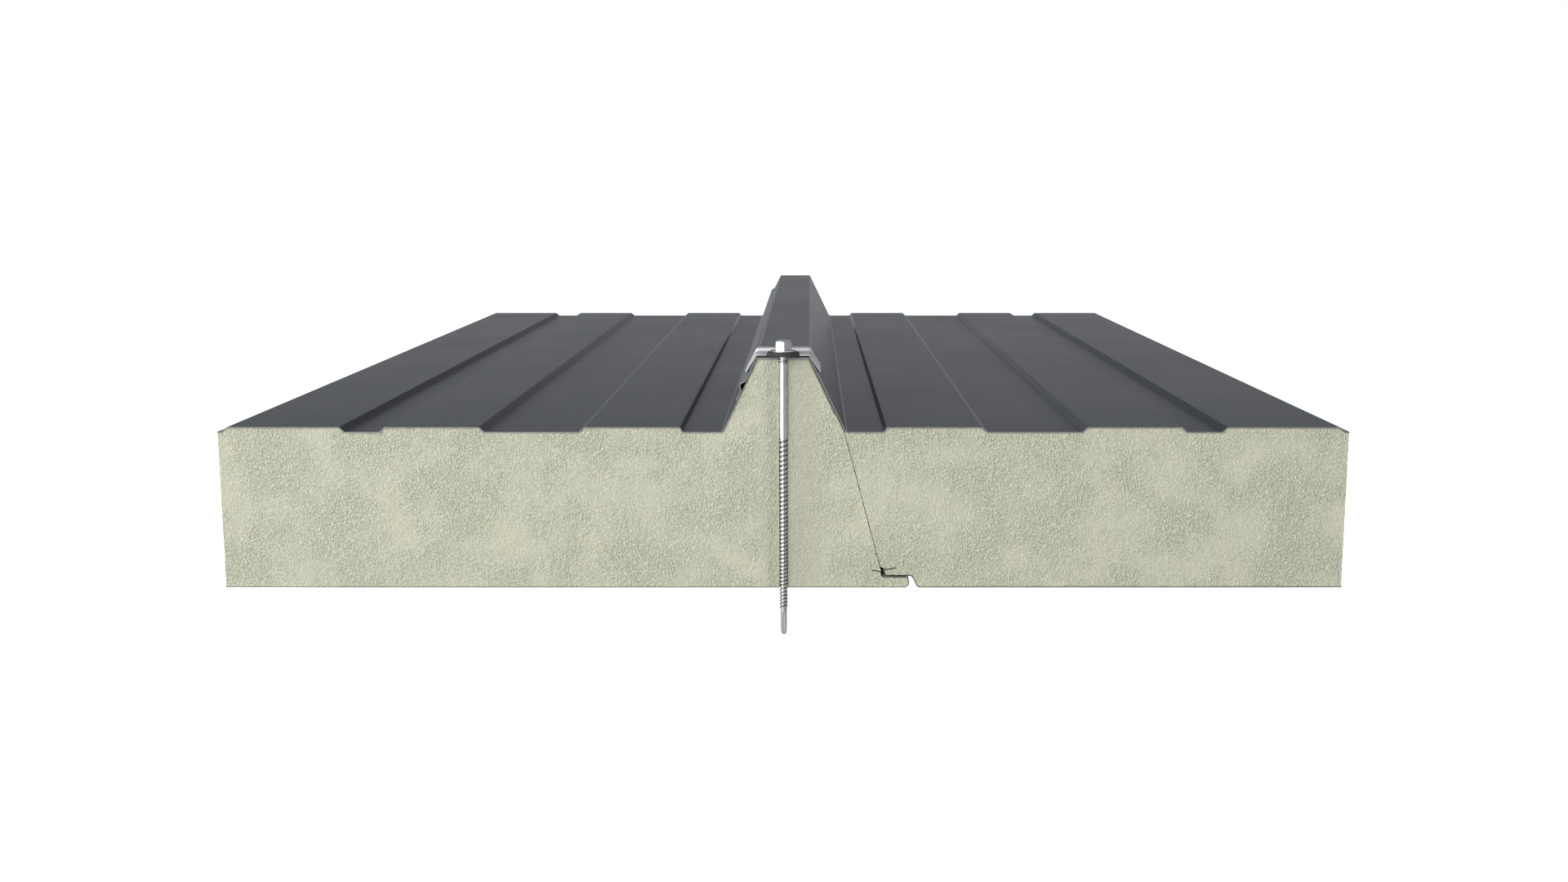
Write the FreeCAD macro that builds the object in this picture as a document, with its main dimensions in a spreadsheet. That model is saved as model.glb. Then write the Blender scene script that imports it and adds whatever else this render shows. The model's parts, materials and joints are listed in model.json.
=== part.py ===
import FreeCAD, Part
import math
import os
import re

import Sketcher
from FreeCAD import Placement, Rotation, Vector

# Cut sample of an insulated roof panel joint: two part panels lapped over one rib and held by one fastener.
# X runs across the ribs, Y runs back from the sawn front face, Z runs up from the liner's underside.
# The origin lies on the screw's axis, in the plane of the underside. Sizes are in millimetres and degrees.
SIZES = {
    # sawn sample
    "half_width": 283.5,
    "sample_depth": 712,
    # tray between the ribs: flat valleys and low raised lands, edges given at mid slope
    "tray": 80,
    "land": 2.4,
    "slope_run": 2.7,
    "first_slope_run": 1.7,
    "first_land": 51,
    "land_pitch": 50,
    "narrow_groove": 20,
    "centre_land": 59,
    "tray_bend": 0.9,
    # rib of the left panel, to the outer face of its own sheet
    "rib_top_half": 12.8,
    "rib_height": 36.7,
    "flank": 25.7,
    "rib_bend": 1.2,
    "foot_bend": 2,
    "under_lap_end": 9,
    # sheets
    "outer_gauge": 0.6,
    "liner_gauge": 0.4,
    # lap of the right panel's sheet over the rib, heights above the tray
    "lap_gap": 0.35,
    "bead_top": 26,
    "bead_peak": 23.8,
    "bead_foot": 21,
    "bead_out": 2.2,
    "bead_bend": 0.8,
    "lap_end": 16.2,
    # joint between the two cores and the lapped liners
    "joint_gap": 0.3,
    "joint_foot": 10.6,
    "tongue_nose": 64.3,
    "tongue_top_nose": 63.2,
    "tongue_height": 5.6,
    "tongue_root": 50.1,
    "nose_bend": 2.6,
    "hem_bend": 0.9,
    "left_hem_x": 49.45,
    "left_hem_z": 8.4,
    "left_hem_end_x": 45.1,
    "left_hem_end_z": 9.2,
    "step_height": 6.1,
    "step_root": 51.4,
    "step_end": 65,
    "step_foot": 67.9,
    "step_bend": 2.2,
    "right_hem_x": 50.5,
    "right_hem_z": 9.3,
    "right_hem_end_x": 57,
    "right_hem_end_z": 10.4,
    # saddle washer and its gasket, sawn through at the front face
    "saddle_depth": 34,
    "saddle_foot": 30,
    "saddle_foot_half": 18.2,
    "saddle_top_half": 13.1,
    "saddle_bend": 1,
    "saddle_gauge": 0.8,
    "gasket_gauge": 0.9,
    "saddle_hole_radius": 8.1,
    # sealing disc, resting on the gasket inside the saddle's hole
    "disc_radius": 7.9,
    "disc_height": 2.1,
    # screw, heights from the liner's underside
    "bore_radius": 2.2,
    "point_end": -24.4,
    "point_radius": 1.55,
    "point_taper": 2.2,
    "thread_start": -10.6,
    "thread_radius": 1.85,
    "shank_radius": 2.05,
    "collar_radius": 2.12,
    "collar_start": 114.4,
    "collar_height": 2.6,
    "flange_radius": 6.5,
    "flange_height": 1,
    "hex_across": 8,
    "hex_height": 4.5,
    "hex_turn": 22,
}

doc = FreeCAD.newDocument("RoofPanelJoint")
sizes = doc.addObject("Spreadsheet::Sheet", "Sizes")
for row, (alias, size) in enumerate(SIZES.items(), start=1):
    sizes.set(f"A{row}", alias)
    sizes.set(f"B{row}", str(size))
    sizes.setAlias(f"B{row}", alias)
doc.recompute()

ALIASES = re.compile(r"\b(" + "|".join(SIZES) + r")\b")
UPRIGHT = Rotation(Vector(1, 0, 0), 90)


def bound(text):
    """Expression in which every size name points at its cell."""
    return ALIASES.sub(r"Sizes.\1", text)


def value(text):
    return float(sizes.evalExpression(bound(text)))


def bend_arc(before, corner, after, radius):
    """Start, middle and end of the arc that rounds a corner, and whether it turns left."""
    back = (before - corner).normalize()
    ahead = (after - corner).normalize()
    half = back.getAngle(ahead) / 2
    centre = corner + (back + ahead).normalize() * (radius / math.sin(half))
    middle = centre + (corner - centre).normalize() * radius
    reach = radius / math.tan(half)
    turns_left = (corner - before).cross(after - corner).z > 0
    return corner + back * reach, middle, corner + ahead * reach, turns_left


def draw(sketch, corners, closed=False):
    """Draw a line through corners of (x, z, bend), rounded wherever a bend radius is named."""
    points = [Vector(value(x), value(z), 0) for x, z, bend in corners]
    count = len(corners)
    constraints = []
    sizes_of = {}

    def fix(geometry, position, corner):
        for kind, text in (("DistanceX", corners[corner][0]), ("DistanceY", corners[corner][1])):
            sizes_of[len(constraints)] = text
            constraints.append(Sketcher.Constraint(kind, geometry, position, value(text)))

    starts = {}
    ends = {}
    arcs = {}
    for i in range(count):
        bend = corners[i][2]
        if bend is None:
            starts[i] = ends[i] = points[i]
            continue
        arrive, middle, leave, turns_left = bend_arc(
            points[i - 1], points[i], points[(i + 1) % count], value(bend))
        arc = sketch.addGeometry(Part.Arc(arrive, middle, leave))
        mark = sketch.addGeometry(Part.Point(points[i]), True)
        fix(mark, 1, i)
        sizes_of[len(constraints)] = bend
        constraints.append(Sketcher.Constraint("Radius", arc, value(bend)))
        ends[i] = arrive
        starts[i] = leave
        arcs[i] = (arc, mark, (1, 2) if turns_left else (2, 1))

    lines = {}
    for i in range(count if closed else count - 1):
        lines[i] = sketch.addGeometry(Part.LineSegment(starts[i], ends[(i + 1) % count]))

    for i in range(count):
        arriving = lines.get((i - 1) % count)
        leaving = lines.get(i)
        if i in arcs:
            arc, mark, (first, last) = arcs[i]
            constraints.append(Sketcher.Constraint("Tangent", arriving, 2, arc, first))
            constraints.append(Sketcher.Constraint("Tangent", arc, last, leaving, 1))
            constraints.append(Sketcher.Constraint("PointOnObject", mark, 1, arriving))
            constraints.append(Sketcher.Constraint("PointOnObject", mark, 1, leaving))
        elif arriving is None:
            fix(leaving, 1, i)
        elif leaving is None:
            fix(arriving, 2, i)
        else:
            constraints.append(Sketcher.Constraint("Coincident", arriving, 2, leaving, 1))
            fix(leaving, 1, i)

    sketch.addConstraint(constraints)
    for index, text in sizes_of.items():
        sketch.setExpression(f"Constraints[{index}]", bound(text))


def section_line(name, corners, closed=False):
    """Upright sketch across the sample."""
    sketch = doc.addObject("Sketcher::SketchObject", name)
    sketch.Placement = Placement(Vector(0, 0, 0), UPRIGHT)
    draw(sketch, corners, closed)
    return sketch


def offset(name, line, distance):
    """Band between a line and its copy moved sideways, to the left of its run."""
    band = doc.addObject("Part::Offset2D", name)
    band.Source = line
    band.Join = "Intersection"
    band.Mode = "Skin"
    band.Fill = True
    band.setExpression("Value", bound(distance))
    return band


def extrude(name, section, depth):
    prism = doc.addObject("Part::Extrusion", name)
    prism.Base = section
    prism.DirMode = "Custom"
    prism.Dir = Vector(0, 1, 0)
    prism.Solid = True
    prism.setExpression("LengthFwd", bound(depth))
    return prism


def cylinder(name, radius, bottom, height):
    post = doc.addObject("Part::Cylinder", name)
    post.setExpression("Radius", bound(radius))
    post.setExpression("Height", bound(height))
    post.setExpression("Placement.Base.z", bound(bottom))
    return post


def cut(name, base, tool):
    rest = doc.addObject("Part::Cut", name)
    rest.Base = base
    rest.Tool = tool
    return rest


def tray_corners(side):
    """Corners of the tray from the rib outwards, on the side given by its sign."""
    edges = [
        "first_land",
        "first_land + land_pitch",
        "first_land + 2 * land_pitch",
        "first_land + 3 * land_pitch",
        "first_land + 3 * land_pitch + narrow_groove",
        "first_land + 3 * land_pitch + narrow_groove + centre_land",
    ]
    corners = []
    for number, edge in enumerate(edges):
        levels = ("tray", "tray + land")
        if number % 2:
            levels = ("tray + land", "tray")
        run = "slope_run" if number else "first_slope_run"
        corners.append((f"{side}({edge} - {run} / 2)", levels[0], "tray_bend"))
        corners.append((f"{side}({edge} + {run} / 2)", levels[1], "tray_bend"))
    corners.append((f"{side}half_width", "tray", None))
    return corners


def lap_flank(height):
    """Half width of the lapping sheet's outer face at a height above the tray."""
    return (f"rib_top_half + (rib_height - {height}) * tan(flank)"
            " + (lap_gap + outer_gauge) / cos(flank)")


RIB_FOOT = "rib_top_half + rib_height * tan(flank)"
LAP_TOP = "tray + rib_height + outer_gauge"
LAP_TOP_HALF = lap_flank("(rib_height + outer_gauge)")

# outer faces of the four sheets, left to right
left_rib = [
    (f"-({RIB_FOOT})", "tray", "foot_bend"),
    ("-rib_top_half", "tray + rib_height", "rib_bend"),
    ("rib_top_half", "tray + rib_height", "rib_bend"),
]
left_outer_corners = tray_corners("-")[::-1] + left_rib + [
    (f"{RIB_FOOT} - under_lap_end * tan(flank)", "tray + under_lap_end", None),
]
right_outer_corners = [
    (f"-({lap_flank('lap_end')})", "tray + lap_end", None),
    (f"-({lap_flank('bead_foot')})", "tray + bead_foot", "bead_bend"),
    (f"-({lap_flank('bead_peak')} + bead_out)", "tray + bead_peak", "bead_bend"),
    (f"-({lap_flank('bead_top')})", "tray + bead_top", "bead_bend"),
    (f"-({LAP_TOP_HALF})", LAP_TOP, "rib_bend + outer_gauge"),
    (LAP_TOP_HALF, LAP_TOP, "rib_bend + outer_gauge"),
    (lap_flank("0"), "tray", "foot_bend"),
] + tray_corners("")
left_tongue = [
    ("-half_width", "0", None),
    ("tongue_nose", "0", "nose_bend"),
    ("tongue_top_nose", "tongue_height", "hem_bend"),
    ("tongue_root", "tongue_height", "hem_bend"),
]
left_liner_corners = left_tongue + [
    ("left_hem_x", "left_hem_z", "hem_bend"),
    ("left_hem_end_x", "left_hem_end_z", None),
]
right_step = [
    ("right_hem_x", "right_hem_z", "hem_bend"),
    ("step_root", "step_height", "hem_bend"),
    ("step_end", "step_height", "step_bend"),
    ("step_foot", "0", "step_bend"),
    ("half_width", "0", None),
]
right_liner_corners = [("right_hem_end_x", "right_hem_end_z", None)] + right_step

# whole outlines of the two panels, closed along the slanted joint
left_outline = left_tongue + [
    ("left_hem_x", "left_hem_z", None),
    (RIB_FOOT, "tray", None),
] + left_rib[::-1] + tray_corners("-")
JOINT_SLANT = f"(left_hem_x - ({RIB_FOOT})) / (tray - left_hem_z)"
HEM_PITCH = "(right_hem_end_z - right_hem_z) / (right_hem_end_x - right_hem_x)"
right_outline = [
    (f"{RIB_FOOT} + joint_gap", "tray", None),
    (f"{RIB_FOOT} + joint_gap + (tray - joint_foot) * {JOINT_SLANT}", "joint_foot", None),
    ("right_hem_x + 2 * hem_bend", f"right_hem_z + 2 * hem_bend * {HEM_PITCH}", None),
] + right_step + tray_corners("")[::-1]

# fastener bore through everything on the screw's axis
bore = cylinder("fastener_bore", "bore_radius", "point_end", "tray + rib_height - 2 * point_end")


def sheet_metal(name, corners, gauge):
    band = offset(name + "_section", section_line(name + "_line", corners), gauge)
    return extrude(name + "_blank", band, "sample_depth")


def core(name, outline, outer, liner):
    block = extrude(name + "_block", section_line(name + "_outline", outline, closed=True), "sample_depth")
    return cut(name + "_under_liner", cut(name + "_under_sheet", block, outer), liner)


left_outer = sheet_metal("left_outer", left_outer_corners, "-outer_gauge")
right_outer = sheet_metal("right_outer", right_outer_corners, "-outer_gauge")
left_liner = sheet_metal("left_liner", left_liner_corners, "liner_gauge")
right_liner = sheet_metal("right_liner", right_liner_corners, "liner_gauge")
left_core = core("left_core", left_outline, left_outer, left_liner)
right_core = core("right_core", right_outline, right_outer, right_liner)

# saddle over the lapped rib, and the gasket that fills the wedge between them
GASKET_TOP = f"{LAP_TOP} + gasket_gauge"
saddle_corners = [
    ("-saddle_foot_half", "tray + saddle_foot", None),
    ("-saddle_top_half", GASKET_TOP, "saddle_bend"),
    ("saddle_top_half", GASKET_TOP, "saddle_bend"),
    ("saddle_foot_half", "tray + saddle_foot", None),
]
gasket_outline = saddle_corners + [
    (lap_flank("saddle_foot"), "tray + saddle_foot", None),
    (LAP_TOP_HALF, LAP_TOP, "rib_bend + outer_gauge"),
    (f"-({LAP_TOP_HALF})", LAP_TOP, "rib_bend + outer_gauge"),
    (f"-({lap_flank('saddle_foot')})", "tray + saddle_foot", None),
]
gasket_section = section_line("gasket_section", gasket_outline, closed=True)
gasket_blank = extrude("gasket_blank", gasket_section, "saddle_depth")
saddle_band = offset("saddle_section", section_line("saddle_line", saddle_corners), "saddle_gauge")
saddle_blank = extrude("saddle_blank", saddle_band, "saddle_depth")
saddle_hole = cylinder("saddle_hole", "saddle_hole_radius", GASKET_TOP, "saddle_gauge")

DISC_TOP = f"{GASKET_TOP} + disc_height"
disc_blank = cylinder("disc_blank", "disc_radius", GASKET_TOP, "disc_height")

# screw: turned profile with a hexagon head
screw = doc.addObject("PartDesign::Body", "screw")
front_plane = next(plane for plane in screw.Origin.OriginFeatures if plane.Role == "XZ_Plane")
profile = screw.newObject("Sketcher::SketchObject", "screw_profile")
profile.AttachmentSupport = (front_plane, [""])
profile.MapMode = "FlatFace"
FLANGE_TOP = f"{DISC_TOP} + flange_height"
COLLAR_TOP = "collar_start + collar_height"
draw(profile, [
    ("0", "point_end", None),
    ("0.75 * point_radius", "point_end", "0.3 * point_radius"),
    ("point_radius", "point_end + point_taper", None),
    ("point_radius", "thread_start", None),
    ("thread_radius", "thread_start", None),
    ("thread_radius", "0", None),
    ("shank_radius", "0", None),
    ("shank_radius", "collar_start", None),
    ("collar_radius", "collar_start", None),
    ("collar_radius", COLLAR_TOP, None),
    ("shank_radius", COLLAR_TOP, None),
    ("shank_radius", DISC_TOP, None),
    ("flange_radius", DISC_TOP, None),
    ("flange_radius", FLANGE_TOP, None),
    ("0", FLANGE_TOP, None),
], closed=True)
turned = screw.newObject("PartDesign::Revolution", "screw_turned")
turned.Profile = profile
turned.ReferenceAxis = (profile, ["V_Axis"])
turned.Angle = 360
hexagon = screw.newObject("PartDesign::AdditivePrism", "hexagon_head")
hexagon.Polygon = 6
hexagon.Placement = Placement(Vector(0, 0, 0), Rotation(Vector(0, 0, 1), value("-hex_turn")))
hexagon.setExpression("Circumradius", bound("hex_across / (2 * cos(30))"))
hexagon.setExpression("Height", bound("hex_height"))
hexagon.setExpression("Placement.Base.z", bound(FLANGE_TOP))
hexagon.setExpression("Placement.Rotation.Angle", bound("-hex_turn"))

# finished pieces, one to a file
pieces = {
    "left_outer_sheet": cut("left_outer_bored", left_outer, bore),
    "left_foam_core": cut("left_core_bored", left_core, bore),
    "left_liner_sheet": cut("left_liner_bored", left_liner, bore),
    "right_outer_sheet": cut("right_outer_bored", right_outer, bore),
    "right_foam_core": right_core,
    "right_liner_sheet": right_liner,
    "saddle_gasket": cut("gasket_bored", gasket_blank, bore),
    "saddle_washer": cut("saddle_holed", saddle_blank, saddle_hole),
    "sealing_disc": cut("disc_bored", disc_blank, bore),
    "roof_screw": screw,
}
for label, piece in pieces.items():
    piece.Label = label
doc.recompute()

for item in doc.Objects:
    if "Invalid" in item.State or "Error" in item.State:
        raise RuntimeError(f"{item.Name} did not build: {item.State}")
os.makedirs("parts", exist_ok=True)
for label, piece in pieces.items():
    if piece.Shape.isNull() or not piece.Shape.isValid() or len(piece.Shape.Solids) != 1:
        raise RuntimeError(f"{label} is not one valid solid")
    piece.Shape.exportStep(f"parts/{label}.step")
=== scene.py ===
import json
import math

import bpy
from bpy.props import FloatProperty, FloatVectorProperty, PointerProperty
from bpy.types import Operator, Panel, PropertyGroup
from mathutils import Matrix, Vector

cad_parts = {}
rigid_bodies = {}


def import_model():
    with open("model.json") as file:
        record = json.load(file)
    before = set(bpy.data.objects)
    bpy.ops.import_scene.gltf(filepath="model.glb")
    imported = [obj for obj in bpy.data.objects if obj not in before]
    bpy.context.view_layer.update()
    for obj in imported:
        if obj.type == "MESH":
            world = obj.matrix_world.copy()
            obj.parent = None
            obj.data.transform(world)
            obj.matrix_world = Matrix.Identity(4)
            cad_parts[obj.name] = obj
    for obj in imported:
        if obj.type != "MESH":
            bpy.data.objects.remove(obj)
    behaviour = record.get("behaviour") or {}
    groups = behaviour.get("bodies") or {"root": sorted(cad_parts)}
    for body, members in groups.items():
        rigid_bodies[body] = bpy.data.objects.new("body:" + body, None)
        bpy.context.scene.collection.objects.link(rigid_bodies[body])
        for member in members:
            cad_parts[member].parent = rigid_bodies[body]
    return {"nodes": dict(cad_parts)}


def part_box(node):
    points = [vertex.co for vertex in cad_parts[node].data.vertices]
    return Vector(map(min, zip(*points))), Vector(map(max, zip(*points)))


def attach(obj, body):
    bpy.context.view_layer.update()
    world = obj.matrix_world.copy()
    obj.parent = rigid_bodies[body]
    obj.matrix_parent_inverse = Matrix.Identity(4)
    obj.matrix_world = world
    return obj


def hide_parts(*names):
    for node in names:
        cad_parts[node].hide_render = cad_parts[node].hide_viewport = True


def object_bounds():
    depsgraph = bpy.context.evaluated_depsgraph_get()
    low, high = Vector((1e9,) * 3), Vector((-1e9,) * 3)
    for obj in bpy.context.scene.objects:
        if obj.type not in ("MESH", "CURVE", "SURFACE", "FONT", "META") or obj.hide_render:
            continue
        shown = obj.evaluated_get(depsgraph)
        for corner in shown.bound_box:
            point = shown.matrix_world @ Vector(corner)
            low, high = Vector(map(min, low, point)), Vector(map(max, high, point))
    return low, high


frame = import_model()
CAD_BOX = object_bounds()

bl_info = {
    "name": "Roof Panel Joint",
    "version": (1, 0, 0),
    "blender": (4, 5, 0),
    "location": "3D View > Sidebar > Panel Joint",
    "description": "Dresses a sawn roof panel joint: coated sheets, foam cores, saddle, seals and screw",
    "category": "Mesh",
}

# The frame's axes: X across the ribs, Y back from the sawn front face, Z up from the liner's underside.
# The screw's axis is X = Y = 0. Lengths are metres, and MM turns a millimetre figure into metres.
MM = 0.001
BODY = "root"

# lowest and highest corners of the sample and of the pieces that others are measured from
PANEL_LOW = CAD_BOX[0]
SHEET_LOW, SHEET_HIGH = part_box("left_outer_sheet")
SADDLE_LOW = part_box("saddle_washer")[0]
SEAL_LOW, SEAL_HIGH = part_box("sealing_disc")
SCREW_LOW, SCREW_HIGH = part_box("roof_screw")

# how near two vertices are merged, and how near a point counts as on a plane
WELD = 0.001 * MM
ON_FACE = 0.01 * MM
# a face looks along an axis when its normal has more than this share along it
FACING = 0.99
FLAT_ANGLE = math.radians(0.5)
SMOOTH_ANGLE = math.radians(35)
EDGE_ANGLE = math.radians(40)
UPRIGHT = math.radians(90)


def length(name, millimetres, description):
    return FloatProperty(
        name=name, description=description, default=millimetres * MM, unit="LENGTH", precision=5)


def colour(name, red, green, blue, description):
    return FloatVectorProperty(
        name=name, description=description, default=(red, green, blue),
        size=3, min=0, max=1, subtype="COLOR")


def factor(name, amount, description):
    return FloatProperty(name=name, description=description, default=amount, min=0, max=1, subtype="FACTOR")


def angle(name, degrees, description):
    return FloatProperty(name=name, description=description, default=math.radians(degrees), subtype="ANGLE")


def power(name, watts, description):
    return FloatProperty(name=name, description=description, default=watts, min=0, unit="POWER")


def plain(name, number, description):
    return FloatProperty(name=name, description=description, default=number)


class PANELJOINT_PG_sheets(PropertyGroup):
    """Finish of the outer sheets and the liners"""

    coat: colour("Weather coat", 0.030, 0.038, 0.045, "Anthracite coat on the outer sheets")
    coat_roughness: factor("Coat roughness", 0.26, "Roughness of the weather coat")
    liner_coat: colour("Liner coat", 0.62, 0.63, 0.61, "Grey-white coat on the liners")
    sawn_edge: colour("Sawn edge", 0.25, 0.248, 0.25, "Zinc-coated steel on the outer sheets' sawn edges")
    # painted shade: an olive-tinted colour painted on the left sheet's sawn edge under the lap, where shade
    # falls
    shaded_edge: colour("Shaded edge", 0.25, 0.245, 0.205, "Shadowed steel on the sawn edge under the lap")
    # painted shade: dark colours painted on the liners' sawn edges, darkest where the liners lap
    liner_edge: colour("Liner edge", 0.10, 0.10, 0.105, "Steel on the sawn edges of the liners")
    lapped_edge: colour("Lapped edge", 0.010, 0.010, 0.011, "Shadowed steel where the liners lap")


class PANELJOINT_PG_foam(PropertyGroup):
    """Mesh and look of the foam cores"""

    face_step: length("Face step", 0.95, "Mesh spacing on the sawn front and back")
    end_step: length("End step", 2.5, "Mesh spacing along the sawn ends")
    joint_swell: length("Joint swell", 0.2, "Swelling of the right core towards the left one at the joint")
    recess: length("Recess", 0.08, "Depth of the foam's face behind the sheets' sawn edges")
    wrinkle_size: length("Wrinkle size", 2.6, "Size of the lumps left by the saw")
    wrinkle_depth: length("Wrinkle depth", 0.3, "Depth of the lumps left by the saw")
    pale: colour("Pale foam", 0.61, 0.605, 0.462, "Foam where the cut is smooth")
    dull: colour("Dull foam", 0.58, 0.59, 0.46, "Foam where the cut is rough")
    # painted shade: a darker foam colour painted in the bands beside the screw, where its shadow falls
    stained: colour("Shadowed foam", 0.525, 0.523, 0.403, "Foam beside the screw")
    # painted shade: a darker foam colour painted in the hollows of the fine wrinkles
    hollow: colour("Foam hollows", 0.335, 0.34, 0.255, "Foam at the bottom of the fine wrinkles")
    patch_size: length("Patch size", 30, "Size of the rough and smooth patches")
    grain_size: length("Grain size", 1.3, "Size of the fine wrinkles")
    grain_depth: length("Grain depth", 1.0, "Depth of the fine wrinkles")
    grain_slant: angle("Grain slant", 35, "Lean of the fine wrinkles")


class PANELJOINT_PG_fastener(PropertyGroup):
    """Sizes of the screw and finish of the fixing"""

    crest_radius: length("Crest radius", 1.97, "Radius of the thread")
    root_radius: length("Root radius", 1.42, "Radius between the turns of the thread")
    top_pitch: length("Top pitch", 2.45, "Thread pitch below the shank")
    tip_pitch: length("Tip pitch", 1.76, "Thread pitch above the drill point")
    thread_bottom: length("Thread bottom", -10.6, "Height of the thread's lower end")
    thread_top: length("Thread top", 77, "Height of the thread's upper end")
    shank_radius: length("Shank radius", 2.05, "Radius of the plain shank")
    collar_radius: length("Collar radius", 2.12, "Radius of the support thread under the head")
    collar_root: length("Collar root", 1.6, "Radius between the turns of the support thread")
    collar_bottom: length("Collar bottom", 114.4, "Height of the support thread's lower end")
    collar_top: length("Collar top", 117, "Height of the support thread's upper end")
    collar_pitch: length("Collar pitch", 1.42, "Pitch of the support thread")
    flange_height: length("Flange height", 1, "Thickness of the flange under the hexagon")
    hexagon_across: length("Across flats", 8, "Width of the hexagon head across its flats")
    hexagon_turn: angle("Hexagon turn", 8, "Turn of the hexagon's front corner from straight ahead")
    point_radius: length("Point radius", 1.55, "Radius of the drill point")
    point_taper: length("Point taper", 2.2, "Height of the drill point's tapered end")
    flute_radius: length("Flute radius", 0.95, "Radius of the drill point's flutes")
    flute_depth: length("Flute depth", 0.4, "Depth of the drill point's flutes")
    saddle_edge: length("Saddle edge", 0.12, "Rounding of the saddle's edges")
    seal_edge: length("Seal edge", 0.3, "Rounding of the sealing disc's edges")
    steel: colour("Screw steel", 0.76, 0.755, 0.765, "Bright steel of the screw")
    # painted shade: a darker steel colour painted between the turns of the threads, where shade falls
    grime: colour("Thread shade", 0.30, 0.297, 0.305, "Dark steel between the turns of the threads")
    point_steel: colour("Point steel", 0.50, 0.50, 0.505, "Dull steel of the drill point")
    ridge_near: length("Ridge near side", 17.5, "Near side of the ridge pressed across the saddle")
    ridge_far: length("Ridge far side", 25.5, "Far side of the ridge pressed across the saddle")
    ridge_height: length("Ridge height", 1.25, "Height of the ridge pressed across the saddle")
    aluminium: colour("Saddle metal", 0.78, 0.785, 0.79, "Bare aluminium of the saddle")
    gasket_rubber: colour("Gasket rubber", 0.014, 0.014, 0.015, "Black rubber under the saddle")
    seal_rubber: colour("Seal rubber", 0.042, 0.042, 0.043, "Dark grey rubber of the sealing disc")


class PANELJOINT_PG_stage(PropertyGroup):
    """Floor, lights and camera"""

    eye: FloatVectorProperty(
        name="Eye", description="Place of the camera", default=(13.11 * MM, -808.4 * MM, 204.5 * MM),
        size=3, subtype="TRANSLATION", unit="LENGTH")
    pitch: angle("Pitch", 9.076, "Tilt of the camera below the level")
    lens: FloatProperty(
        name="Lens", description="Focal length in millimetres", default=37.52, unit="CAMERA")
    shift: plain("Shift", -0.01625, "Sideways shift of the lens")
    floor: colour("Floor", 0.6, 0.6, 0.6, "Colour of the pale floor")
    backdrop: plain("Backdrop", 1.05, "Brightness of the background in view")
    surround: plain("Surround", 0.25, "Brightness of the surround")
    overhead: plain("Overhead", 0.4, "Brightness added overhead")
    horizon: plain("Horizon", 0.6, "Brightness added along the horizon at the back")
    shade: plain("Shade", 0.115, "Brightness taken away at the back")
    tint: FloatVectorProperty(
        name="Tint", description="Colour of the surround", default=(0.96, 0.99, 1.03),
        size=3, subtype="COLOR")
    key: power("Key light", 128, "Large soft light at the front left")
    low: power("Low light", 4.3, "Glowing panel on the floor at the front left, for the fixing alone")
    back: power("Back light", 60, "Large soft light at the back right, for the foam alone")


def clear_selection():
    """Leave edit mode with nothing selected."""
    if bpy.context.mode != "OBJECT":
        bpy.ops.object.mode_set(mode="OBJECT")
    bpy.ops.object.select_all(action="DESELECT")


def only(piece):
    """Leave edit mode and make a piece the only one selected."""
    clear_selection()
    piece.select_set(True)
    bpy.context.view_layer.objects.active = piece


def edit(piece, kind, action):
    """Enter edit mode on vertices, edges or faces, with all or none of them selected."""
    only(piece)
    bpy.ops.object.mode_set(mode="EDIT")
    bpy.ops.mesh.select_mode(type=kind)
    bpy.ops.mesh.select_all(action=action)


def edit_all(piece):
    edit(piece, "VERT", "SELECT")


def edit_where(piece, kind, test):
    """Enter edit mode with the vertices, edges or faces that pass a test selected."""
    edit(piece, kind, "DESELECT")
    bpy.ops.object.mode_set(mode="OBJECT")
    mesh = piece.data
    for item in {"VERT": mesh.vertices, "EDGE": mesh.edges, "FACE": mesh.polygons}[kind]:
        item.select = test(item)
    bpy.ops.object.mode_set(mode="EDIT")


def shift_where(piece, kind, test, step):
    """Move the vertices, edges or faces that pass a test."""
    edit_where(piece, kind, test)
    bpy.ops.transform.translate(value=step)
    bpy.ops.object.mode_set(mode="OBJECT")


def edge_ends(piece, edge):
    return [piece.data.vertices[index].co for index in edge.vertices]


def weld(piece):
    """Merge vertices that lie in one place and turn every face outwards."""
    edit_all(piece)
    bpy.ops.mesh.remove_doubles(threshold=WELD)
    bpy.ops.mesh.normals_make_consistent(inside=False)
    bpy.ops.object.mode_set(mode="OBJECT")


def apply(piece, kind, **settings):
    """Add a modifier to a piece, set it up and apply it."""
    modifier = piece.modifiers.new(kind.title(), kind)
    for name, setting in settings.items():
        setattr(modifier, name, setting)
    only(piece)
    bpy.ops.object.modifier_apply(modifier=modifier.name)


def ease_edges(piece, width, segments):
    """Round the sharp edges of a piece."""
    apply(
        piece, "BEVEL", width=width, segments=segments, limit_method="ANGLE", angle_limit=EDGE_ANGLE)


def combine(piece, tool, operation):
    """Join, cut or trim a piece with a tool, and use the tool up."""
    apply(piece, "BOOLEAN", operation=operation, object=tool, solver="EXACT")
    mesh = tool.data
    bpy.data.objects.remove(tool)
    bpy.data.meshes.remove(mesh)
    if not piece.data.polygons:
        raise RuntimeError(f"{piece.name}: nothing is left after {operation}")


def merged_copy(node):
    """Closed copy of a CAD node, with its flat faces made whole."""
    piece = bpy.data.objects.new(node + "_copy", frame["nodes"][node].data.copy())
    bpy.context.scene.collection.objects.link(piece)
    only(piece)
    bpy.ops.mesh.customdata_custom_splitnormals_clear()
    weld(piece)
    edit_all(piece)
    bpy.ops.mesh.dissolve_limited(angle_limit=FLAT_ANGLE)
    bpy.ops.object.mode_set(mode="OBJECT")
    return piece


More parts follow.
